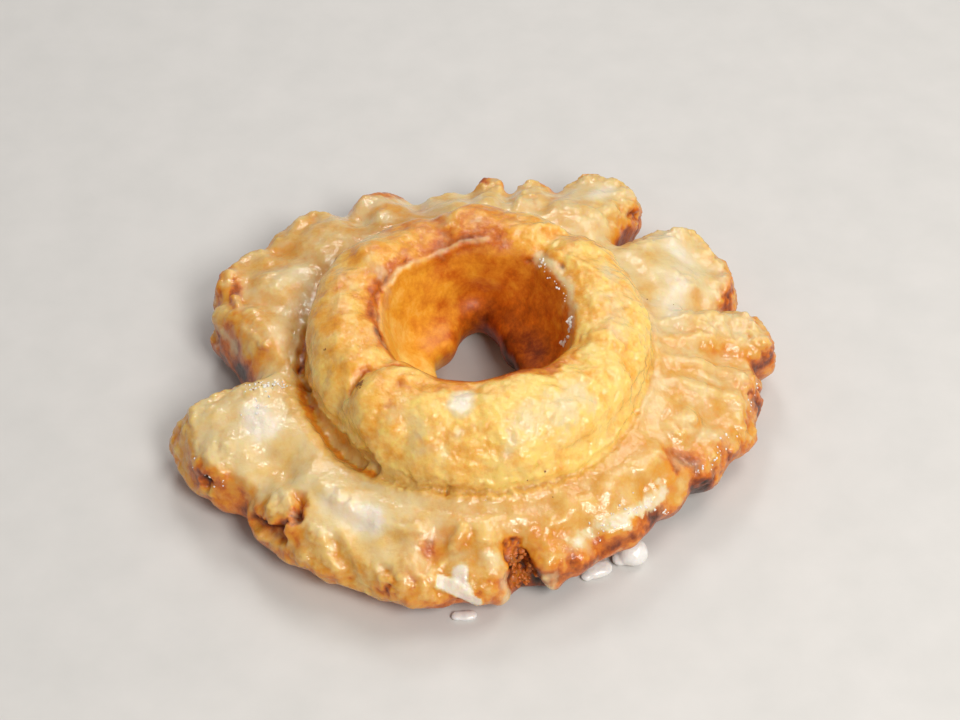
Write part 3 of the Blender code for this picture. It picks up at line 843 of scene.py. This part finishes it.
    def torn(self, skin: Skin) -> np.ndarray:
        """Return how much each point is on the torn crumb along the front of the ring, 0 to 1."""
        beside = between(skin.radius, 26.5, 27.5, 30.2, 31.6) * ease(skin.height, 9.0, 10.5)
        return beside * between(skin.bearing, 186.0, 196.0, 296.0, 318.0) * (1.0 - self.ring(skin))

    def brow(self, skin: Skin) -> np.ndarray:
        """Return how much each point is on the skirt's upper edge, 0 to 1."""
        crest = ease(skin.blurred(skin.bulge(140), 20), 0.1, 0.5)
        return crest * ease(skin.radius, 32.0, 36.0) * ease(skin.height, 3.0, 6.0)

    def lumps(self, skin: Skin) -> np.ndarray:
        """Work out the lumps, crags and crumb of the dough.

        Args:
            skin: The crust's skin.

        Returns:
            How far each point stands out, in millimetres.
        """
        ring = self.ring(skin)
        outside = ring * ease(skin.radius, 15.0, 17.0)
        rough = self.brow(skin) * skin.lookup(self.CRAGS)
        crags = grain(skin.points, self.crag, Grain.KNOB, 3)
        knobs = grain(skin.points, self.knob, Grain.KNOB, 2, 7.0)
        blisters = grain(skin.points, 2.2, Grain.KNOB, 2, 17.0)
        swells = grain(skin.points, 4.5, Grain.SWELL, 2, 3.0)
        wrinkles = grain(skin.points, 2.4, Grain.SWELL, 4, 11.0)
        depth = rough * (0.75 * crags - 0.3) + (0.04 + 0.2 * rough) * (knobs - 0.4)
        depth += (1.0 - ring) * (0.25 * swells + 0.08 * wrinkles) + outside * (0.34 * swells + 0.08 * wrinkles)
        blistered = 0.15 + 0.35 * (0.5 + 0.5 * np.cos(np.radians(skin.bearing - 320.0)))
        depth += outside * blistered * (blisters - 0.45)
        return depth + 0.8 * self.torn(skin) * (knobs - 0.4)

    def knead(self, skin: Skin) -> None:
        """Knead lumps, folds, cracks and pits into the dough.

        Args:
            skin: The crust's skin.
        """
        free = ease(skin.height, 0.1, 2.0)
        skin.move(self.lumps(skin) * free)
        skin.move(self.ring_lap * self.ring(skin) * ease(skin.radius, 24.0, 27.0), 30)
        skin.move(skin.total(self.FOLDS) * free, 40)
        skin.move(skin.total(self.CRACKS) * ease(skin.height, 6.0, 8.0) + skin.total(self.PITS) * free, 60)
        worn = between(skin.radius, 24.5, 26.5, 30.5, 32.0) * between(skin.height, 5.0, 7.0, 13.5, 15.0)
        worn *= between(skin.bearing, 184.0, 190.0, 240.0, 248.0)
        skin.put(skin.points + (skin.blurred(skin.points, 4) - skin.points) * worn[:, None])

    def fit(self, skin: Skin, low: Vector, high: Vector) -> None:
        """Keep the skin within the solid's own box, and flat where it rests.

        Args:
            skin: The crust's skin.
            low: The box's lowest corner in metres.
            high: The box's highest corner in metres.
        """
        points = skin.points
        points[points[:, 2] < self.resting, 2] = 0.0
        least = (np.array(low) - skin.axis) / MM
        most = (np.array(high) - skin.axis) / MM
        skin.put(np.clip(points, least + INSET_MM, most - INSET_MM))

    def parts(self, skin: Skin) -> Parts:
        """Find the doughnut's parts on the skin.

        Args:
            skin: The crust's skin.

        Returns:
            How much each point belongs to each of them.
        """
        lift = skin.blurred(skin.normals[:, 2], 24)
        inner = ease(skin.radius, 15.8, 14.0)
        ring = self.ring(skin)
        return Parts(
            ring=ring,
            skirt=1.0 - ring,
            hole=inner * np.maximum(ease(lift, 0.9, 0.6), ease(skin.height, 19.5, 17.5)),
            side=ease(lift, 0.6, 0.05) * ease(skin.radius, 32.0, 36.0),
            fringe=ease(lift, 0.9, 0.55) * ease(skin.height, 4.0, 7.0) * ease(skin.radius, 34.0, 38.0),
            top=ease(lift, 0.3, 0.85),
            torn=self.torn(skin),
            relief=skin.bulge(14),
        )

    def fry_and_shade(self, skin: Skin, parts: Parts) -> np.ndarray:
        """Work out how far the dough is fried, with painted shade laid in as more frying in creases, pits, the
        crack and low down in the hole.

        Args:
            skin: The crust's skin.
            parts: The doughnut's parts.

        Returns:
            A share for each point, from 0 where it is pale to 1 where it is burnt.
        """
        patches = grain(skin.points, 6.0, Grain.SWELL, 3, 21.0)
        blots = grain(skin.points, 2.2, Grain.SWELL, 3, 41.0)
        # Painted shade in the hole: its wall is painted darker towards bearing 20 degrees and further down, on
        # top of its frying.
        facing = np.cos(np.radians(skin.bearing - 20.0))
        bore_frying_and_shade = 0.38 + 0.17 * facing + (0.24 + 0.2 * facing) * ease(skin.height, 15.0, 6.0)
        rim = 0.16 * ease(skin.radius, 18.5, 15.0)
        frying_and_shade = parts.ring * (skin.lookup(self.RING_FRYING) + rim + 0.14 * patches + 0.16 * blots)
        frying_and_shade = frying_and_shade * (1.0 - parts.hole) + parts.hole * (bore_frying_and_shade + 0.08 * patches + 0.14 * blots)
        side = (0.06 + skin.lookup(self.SIDE_FRYING)) * parts.side + 0.2 * parts.fringe * (1.0 - parts.side)
        uneven = (0.1 + 0.22 * parts.fringe) * patches + (0.06 + 0.16 * parts.fringe) * blots
        foot = 0.16 * ease(skin.height, 4.5, 1.0) * ease(skin.radius, 32.0, 36.0)
        frying_and_shade += parts.skirt * (skin.lookup(self.TOP_FRYING) + side + uneven + foot)
        # Painted shade and light: hollows of the relief are painted darker and knob tops paler, less in the hole
        # and beside the ring.
        crease_shade_and_top_light = (0.45 + 0.3 * parts.skirt) * np.clip(parts.relief, -0.4, 0.2)
        frying_and_shade -= crease_shade_and_top_light * (1.0 - parts.hole) * (1.0 - 0.8 * between(skin.radius, 25.0, 27.0, 31.0, 33.0))
        frying_and_shade += skin.total(self.SCORCHES_AND_SHADOWS)
        # Painted shade: the deep crack is painted darker with its depth.
        frying_and_shade += 0.4 * ease(-skin.total(self.CRACKS), 0.6, 1.6)
        gap = between(skin.radius, 24.0, 26.0, 29.5, 31.0) * ease(skin.height, 14.5, 12.5)
        return frying_and_shade - 0.06 * gap * between(skin.bearing, 184.0, 190.0, 236.0, 246.0)

    def pour_glaze_and_highlights(self, skin: Skin, parts: Parts) -> np.ndarray:
        """Work out how thick the glaze lies, with painted highlights and reflections laid in as thicker glaze.

        Args:
            skin: The crust's skin.
            parts: The doughnut's parts.

        Returns:
            A thickness for each point: about 0 where it is clear, 1 where it is milky and 2 where it is white.
        """
        milky = parts.top * parts.skirt * (1.0 - 0.5 * parts.fringe) * skin.lookup(self.TOP_GLAZE)
        glaze = milky + 0.08 * parts.ring + 0.42 * grain(skin.points, 3.6, Grain.SWELL, 4, 31.0)
        glaze *= ease(parts.relief, -0.4, -0.1) * (1.0 - parts.hole) * (1.0 - parts.torn)
        return glaze + skin.total(self.GLAZE_POOLS_AND_HIGHLIGHTS)

    def paint(self, skin: Skin) -> None:
        """Paint the skin's frying with its painted shade, the glaze with its painted highlights, the grit, and
        where the ring and the hole's shade are.

        Args:
            skin: The crust's skin.
        """
        parts = self.parts(skin)
        glaze = self.pour_glaze_and_highlights(skin, parts)
        crusty = 0.5 * parts.fringe + 0.4 * parts.side * parts.skirt
        grit = 0.15 + 0.15 * parts.skirt + 0.85 * parts.ring * (1.0 - parts.hole) + 0.9 * parts.torn
        grit += skin.lookup(self.CRAGS) * crusty + 0.8 * ease(glaze, 1.6, 2.2) * parts.skirt
        skin.paint("ring", parts.ring)
        skin.paint("shade", parts.hole * ease(skin.height, 21.0, 18.0))
        skin.paint("frying_and_shade", self.fry_and_shade(skin, parts))
        skin.paint("glaze", glaze)
        skin.paint("grit", np.clip(grit, 0.0, 1.2))

    def build(self, node: bpy.types.Object, axis: Vector) -> bpy.types.Object:
        """Cast, knead, thin and paint the crust.

        Args:
            node: The solid's object.
            axis: Where the hole's axis meets the ground.

        Returns:
            The finished crust.
        """
        crust = self.cast(node)
        skin = Skin(crust, axis)
        self.fill_moat(skin)
        self.tuck(skin)
        self.knead(skin)
        self.fit(skin, *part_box(NODE))
        self.paint(skin)
        share = self.faces / sum(len(face.vertices) - 2 for face in crust.data.polygons)
        apply_modifier(crust, "DECIMATE", ratio=min(share, 1.0))
        dress(crust, self.finish.material())
        return crust


@dataclass(frozen=True)
class GlazeFinish:
    """Sugar glaze by itself: opaque white icing, or sugar that light passes into."""

    name: str
    colour: Colour
    roughness: float = 0.3
    weight: float = 0.3
    glow_depth: float = 0.8 * MM
    coat: float = 0.6

    def material(self) -> bpy.types.Material:
        """Build the material.

        Returns:
            The material.
        """
        nodes = Nodes(self.name)
        shade = tuple(0.93 * part for part in self.colour)
        nodes.set(
            Base_Color=nodes.ramp(nodes.noise(1.2 * MM, 3.0), ((0.35, shade), (0.65, self.colour))),
            Roughness=self.roughness,
            Subsurface_Weight=self.weight,
            Subsurface_Radius=(1.0, 0.8, 0.6),
            Subsurface_Scale=self.glow_depth,
            Coat_Weight=self.coat,
            Coat_Roughness=0.15,
            Normal=nodes.bump(nodes.noise(0.5 * MM, 3.0), 0.1 * MM),
        )
        return nodes.material


@dataclass(frozen=True)
class Dollop:
    """A soft lump of icing, or a trail of them through several places, given as a stroke gives its places.

    The size is how wide the lump is each way, and the share of that which it is thick, in millimetres.
    """

    places: tuple[Place, ...]
    radius: float
    thickness: float = 0.5


@dataclass
class Surface:
    """The crust as something that other pieces are put on."""

    crust: bpy.types.Object
    axis: Vector
    above: float = 40 * MM

    def spot(self, place: Place) -> tuple[Vector, Vector]:
        """Find the crust's point and normal at a place.

        Args:
            place: A bearing and a radius, for the topmost point there, or a bearing, a radius and a height, for
                the nearest point.

        Returns:
            The point in metres, and the normal.
        """
        bearing, radius, *height = place
        point = self.axis + Vector((*heading(bearing), 0.0)) * radius * MM
        if height:
            _, hit, normal, _ = self.crust.closest_point_on_mesh(point + Vector((0.0, 0.0, height[0] * MM)))
            return hit, normal
        up = Vector((0.0, 0.0, 1.0))
        found, hit, normal, _ = self.crust.ray_cast(point + up * self.above, -up)
        return (hit, normal) if found else (point, up)


def keep_inside(piece: bpy.types.Object) -> None:
    """Bring every point of a piece within the solid's own box.

    Args:
        piece: The piece.
    """
    low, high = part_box(NODE)
    slack = INSET_MM * MM
    for vertex in piece.data.vertices:
        sides = zip(vertex.co, low, high)
        vertex.co = [min(max(value, least + slack), most - slack) for value, least, most in sides]


@dataclass
class Icing:
    """Drops of thick white icing that ran down to the floor in front."""

    voxel: float = 0.22 * MM
    steps: int = 4
    ripple: float = 0.2 * MM
    ripple_size: float = 2.4 * MM
    finish: GlazeFinish = GlazeFinish("white_icing", (0.92, 0.89, 0.85))

    DOLLOPS: ClassVar[tuple[Dollop, ...]] = (
        Dollop(((307.1, 38.9, 1.8),), 2.3, 0.85),
        Dollop(((304.4, 38.2, 0.9),), 1.3, 0.7),
        Dollop(((299.8, 38.3, 0.8), (297.4, 37.9, 0.7)), 1.4, 0.6),
        Dollop(((295.6, 38.2, 0.5),), 1.0, 0.5),
        Dollop(((266.0, 41.9, 0.4), (269.0, 41.7, 0.4)), 0.9, 0.5),
    )

    def lump(self, dollop: Dollop, centre: Vector) -> bpy.types.Object:
        """Make one flattened lump.

        Args:
            dollop: Its size.
            centre: Where it sits.

        Returns:
            The lump.
        """
        deselect_all()
        bpy.ops.mesh.primitive_uv_sphere_add(segments=20, ring_count=12, radius=dollop.radius * MM)
        lump = bpy.context.object
        lump.location = centre
        lump.scale = (1.0, 1.0, dollop.thickness)
        bpy.ops.object.transform_apply(location=True, rotation=False, scale=True)
        return lump

    def trail(self, dollop: Dollop, axis: Vector) -> list[bpy.types.Object]:
        """Make the lumps along a dollop's places.

        Args:
            dollop: The dollop.
            axis: Where the hole's axis meets the ground.

        Returns:
            The lumps.
        """
        line = [Vector(place) for place in dollop.places]
        places = line[:1]
        for start, end in zip(line, line[1:]):
            places.extend(start.lerp(end, step / self.steps) for step in range(1, self.steps + 1))
        lumps = []
        for bearing, radius, height in places:
            east, north = heading(bearing)
            lumps.append(self.lump(dollop, axis + Vector((east * radius, north * radius, height)) * MM))
        return lumps

    def build(self, axis: Vector) -> bpy.types.Object:
        """Join the dollops into smooth, uneven drops of icing.

        Args:
            axis: Where the hole's axis meets the ground.

        Returns:
            The piece.
        """
        icing = join("icing_drops", [lump for dollop in self.DOLLOPS for lump in self.trail(dollop, axis)])
        apply_modifier(icing, "REMESH", mode="VOXEL", voxel_size=self.voxel)
        apply_modifier(icing, "SMOOTH", factor=0.5, iterations=6)
        for vertex in icing.data.vertices:
            vertex.co += vertex.normal * self.ripple * noise.fractal(vertex.co / self.ripple_size, 0.9, 2.1, 2)
        keep_inside(icing)
        dress(icing, self.finish.material())
        return icing


@dataclass(frozen=True)
class Patch:
    """Where bits are strewn: along a line of places, how far to each side, how many, and how large."""

    places: tuple[Place, ...]
    spread: float
    count: int
    scale: float = 1.0


@dataclass
class Bits:
    """Many small bits of one kind, strewn on the crust as one mesh."""

    name: str
    patches: tuple[Patch, ...]
    sizes: tuple[float, float]
    finish: GlazeFinish
    facets: int = 1
    flatness: float = 1.0
    raggedness: float = 0.3
    sunk: float = 0.3
    seed: int = 1

    def strewn(self, surface: Surface, patch: Patch, chance: np.random.Generator) -> list[tuple[Vector, Vector]]:
        """Choose the points and normals for a patch's bits.

        Args:
            surface: The crust.
            patch: The patch.
            chance: The source of chance.

        Returns:
            A point and a normal for each bit.
        """
        line = [np.array(place, float) for place in patch.places]
        spots = []
        for _ in range(patch.count):
            place = line[0].copy()
            if len(line) > 1:
                leg = chance.integers(len(line) - 1)
                place = line[leg] + chance.random() * (line[leg + 1] - line[leg])
            stray = chance.normal(0.0, 0.5 * patch.spread, len(place))
            stray[0] *= math.degrees(1.0) / place[1]
            spots.append(surface.spot(tuple(place + stray)))
        return spots

    def shape(
        self, bit: bpy.types.Object, chance: np.random.Generator, scale: float, point: Vector, normal: Vector
    ) -> None:
        """Make a plain ball into a ragged bit that sits on the crust.

        Args:
            bit: The ball, 1 m in radius, at the origin.
            chance: The source of chance.
            scale: How large the patch's bits are.
            point: Where the bit sits.
            normal: Which way is up there.
        """
        size = chance.uniform(*self.sizes) * scale * MM
        stretch = Matrix.Diagonal((*(chance.uniform(0.75, 1.25, 3) * size), 1.0))
        spin = Matrix.Rotation(chance.uniform(0.0, math.tau), 4, "Z")
        flat = Matrix.Diagonal((1.0, 1.0, self.flatness, 1.0))
        facing = normal.to_track_quat("Z", "Y").to_matrix().to_4x4()
        place = Matrix.Translation(point + normal * size * self.flatness * (1.0 - 2.0 * self.sunk))
        offset = Vector(chance.uniform(0.0, 50.0, 3))
        for vertex in bit.data.vertices:
            vertex.co *= 1.0 + self.raggedness * noise.noise(1.7 * vertex.co + offset)
        bit.data.transform(place @ facing @ flat @ spin @ stretch)

    def build(self, surface: Surface) -> bpy.types.Object:
        """Strew the bits over the crust.

        Args:
            surface: The crust.

        Returns:
            The piece that holds them all.
        """
        chance = np.random.default_rng(self.seed)
        deselect_all()
        bpy.ops.mesh.primitive_ico_sphere_add(subdivisions=self.facets, radius=1.0)
        ball = bpy.context.object
        bits = []
        for patch in self.patches:
            for point, normal in self.strewn(surface, patch, chance):
                bits.append(new_object(self.name, ball.data.copy()))
                self.shape(bits[-1], chance, patch.scale, point, normal)
        bpy.data.meshes.remove(ball.data)
        piece = join(self.name, bits)
        keep_inside(piece)
        dress(piece, self.finish.material(), self.facets > 1)
        return piece


# Clear and white crystals of sugar, at the skirt's edges and on the rim of the hole.
SUGAR = Bits(
    "sugar_crystals",
    (
        Patch(((193, 30.0), (193, 36.6)), 1.1, 40),
        Patch(((196, 33.0), (200, 37.0)), 2.0, 10),
        Patch(((50, 15.4, 20.8), (34, 15.0, 20.6), (14, 14.8, 20.4)), 0.7, 26, 1.1),
        Patch(((358, 14.6, 19.8), (357, 14.2, 18.4)), 1.1, 18, 2.0),
        Patch(((356.5, 13.8, 16.4), (356, 13.4, 15.2)), 0.9, 12, 1.6),
        Patch(((296, 37.6), (306, 37.4), (315, 37.8)), 1.4, 34),
        Patch(((326, 39.4, 9.0), (334, 40.6, 8.6), (342, 41.4, 8.8)), 1.2, 18),
        Patch(((348, 43.4, 8.0), (356, 43.4, 9.0)), 1.2, 8),
        Patch(((205, 47.0, 8.6), (212, 45.0, 9.0)), 1.4, 8),
        Patch(((152, 45.4, 10.6), (158, 45.4, 9.6)), 0.7, 10),
        Patch(((316, 39.4, 7.0),), 0.8, 8),
    ),
    (0.08, 0.22),
    GlazeFinish("sugar", (0.94, 0.91, 0.85), 0.35, 0.0, coat=0.15),
    raggedness=0.6, sunk=0.5,
)

# Brown crumbs of torn dough in the cavity.
CRUMBS = Bits(
    "torn_crumbs",
    (
        Patch(((278, 37.2, 8.4), (280, 38.0, 6.0), (281, 38.4, 3.6)), 1.5, 70),
    ),
    (0.20, 0.55),
    GlazeFinish("crumb", (0.60, 0.15, 0.015), 0.4, 0.5, coat=0.2),
    facets=2, flatness=0.9, raggedness=0.7, sunk=0.6, seed=7,
)

# Burnt specks that came with the oil it was fried in.
SPECKS = Bits(
    "burnt_specks",
    (
        Patch(((223, 23.8), (221.4, 22.8)), 0.4, 12, 1.9),
        Patch(((198, 24.1),), 0.3, 3, 1.2),
        Patch(((193, 33.0), (194, 35.0)), 1.2, 5),
        Patch(((40, 26.4), (8, 33.0)), 4.0, 4),
        Patch(((270, 26.4), (300, 33.0)), 5.0, 4),
    ),
    (0.08, 0.16),
    GlazeFinish("burnt_sugar", (0.30, 0.12, 0.03), 0.7, 0.0, coat=0.0),
    flatness=0.5, raggedness=0.9, seed=9,
)


@dataclass(frozen=True)
class Lamp:
    """A square soft light that faces the doughnut."""

    name: str
    place: tuple[float, float, float]
    width: float
    watts: float
    colour: Colour

    def hang(self) -> None:
        """Hang the light."""
        data = bpy.data.lights.new(self.name, "AREA")
        data.size = self.width
        data.energy = self.watts
        data.color = self.colour
        light = new_object(self.name, data)
        light.location = self.place
        light.rotation_euler = Vector(self.place).to_track_quat("Z", "Y").to_euler()


@dataclass(frozen=True)
class FloorFinish:
    """A matt, pale, faintly mottled floor."""

    shades: tuple[Colour, Colour] = ((0.66, 0.645, 0.62), (0.70, 0.68, 0.655))
    mottle: float = 9 * MM
    roughness: float = 0.6

    def material(self) -> bpy.types.Material:
        """Build the material.

        Returns:
            The material.
        """
        nodes = Nodes("pale_floor")
        tint = nodes.ramp(nodes.noise(self.mottle, 4.0), tuple(zip((0.3, 0.7), self.shades)))
        nodes.set(Base_Color=tint, Roughness=self.roughness)
        return nodes.material


@dataclass
class Studio:
    """A pale floor, soft light and the camera."""

    floor_width: float = 1.6
    floor_finish: FloorFinish = FloorFinish()
    room_colour: Colour = (1.0, 0.98, 0.96)
    room_light: float = 0.29
    distance: float = 355.7 * MM
    elevation: float = 47.0
    lens: float = 85.0
    aim: tuple[float, float, float] = (0.5 * MM, 0.72 * MM, 10.0 * MM)

    LAMPS: ClassVar[tuple[Lamp, ...]] = (
        Lamp("key", (0.26, 0.16, 0.48), 0.26, 0.88, (1.0, 0.97, 0.93)),
        Lamp("front", (0.22, -0.34, 0.42), 0.22, 2.2, (1.0, 0.98, 0.95)),
        Lamp("window", (-0.06, 0.42, 0.44), 0.14, 0.6, (1.0, 1.0, 1.0)),
    )

    def lay_floor(self) -> bpy.types.Object:
        """Lay the floor.

        Returns:
            The floor.
        """
        deselect_all()
        bpy.ops.mesh.primitive_plane_add(size=self.floor_width, location=(0.0, 0.0, 0.0))
        floor = bpy.context.object
        floor.name = "floor"
        dress(floor, self.floor_finish.material(), smooth=False)
        return floor

    def light(self) -> None:
        """Hang the lights, and set the room's own light."""
        for lamp in self.LAMPS:
            lamp.hang()
        world = bpy.data.worlds.new("room")
        bpy.context.scene.world = world
        world.use_nodes = True
        background = world.node_tree.nodes["Background"]
        background.inputs["Color"].default_value = (*self.room_colour, 1.0)
        background.inputs["Strength"].default_value = self.room_light
        bpy.context.scene.view_settings.view_transform = "Standard"

    def set_camera(self, axis: Vector) -> None:
        """Place the camera in front of the doughnut and above it.

        Args:
            axis: Where the hole's axis meets the ground.
        """
        data = bpy.data.cameras.new("camera")
        data.lens = self.lens
        data.clip_start = 10 * MM
        camera = new_object("camera", data)
        rise = math.radians(self.elevation)
        back = Vector((0.0, -math.cos(rise), math.sin(rise)))
        camera.location = axis + Vector(self.aim) + back * self.distance
        camera.rotation_euler = back.to_track_quat("Z", "Y").to_euler()
        bpy.context.scene.camera = camera


def hole_axis(record: dict) -> Vector:
    """Return where the hole's axis meets the ground, straight behind the mount's point."""
    mount = next(mount for mount in record["mounts"] if mount["name"] == "base")
    return Vector(mount["pos_m"]) + Vector((0.0, MOUNT_TO_AXIS, 0.0))


def seat(piece: bpy.types.Object) -> None:
    """Let a piece ride on the doughnut's body and stand for its solid, and report it.

    Args:
        piece: The piece.
    """
    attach(piece, BODY)
    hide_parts(NODE)
    log.info("%s: %d points, %d faces", piece.name, len(piece.data.vertices), len(piece.data.polygons))


def main() -> None:
    """Build the doughnut's pieces round its solid, then the studio."""
    logging.basicConfig(level=logging.INFO, format="%(message)s")
    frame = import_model()
    axis = hole_axis(frame["record"])
    crust = Crust().build(frame["nodes"][NODE], axis)
    seat(crust)
    bpy.context.view_layer.update()
    surface = Surface(crust, axis)
    seat(Icing().build(axis))
    seat(SUGAR.build(surface))
    seat(CRUMBS.build(surface))
    seat(SPECKS.build(surface))
    studio = Studio()
    studio.lay_floor()
    studio.light()
    studio.set_camera(axis)


if __name__ == "__main__":
    main()
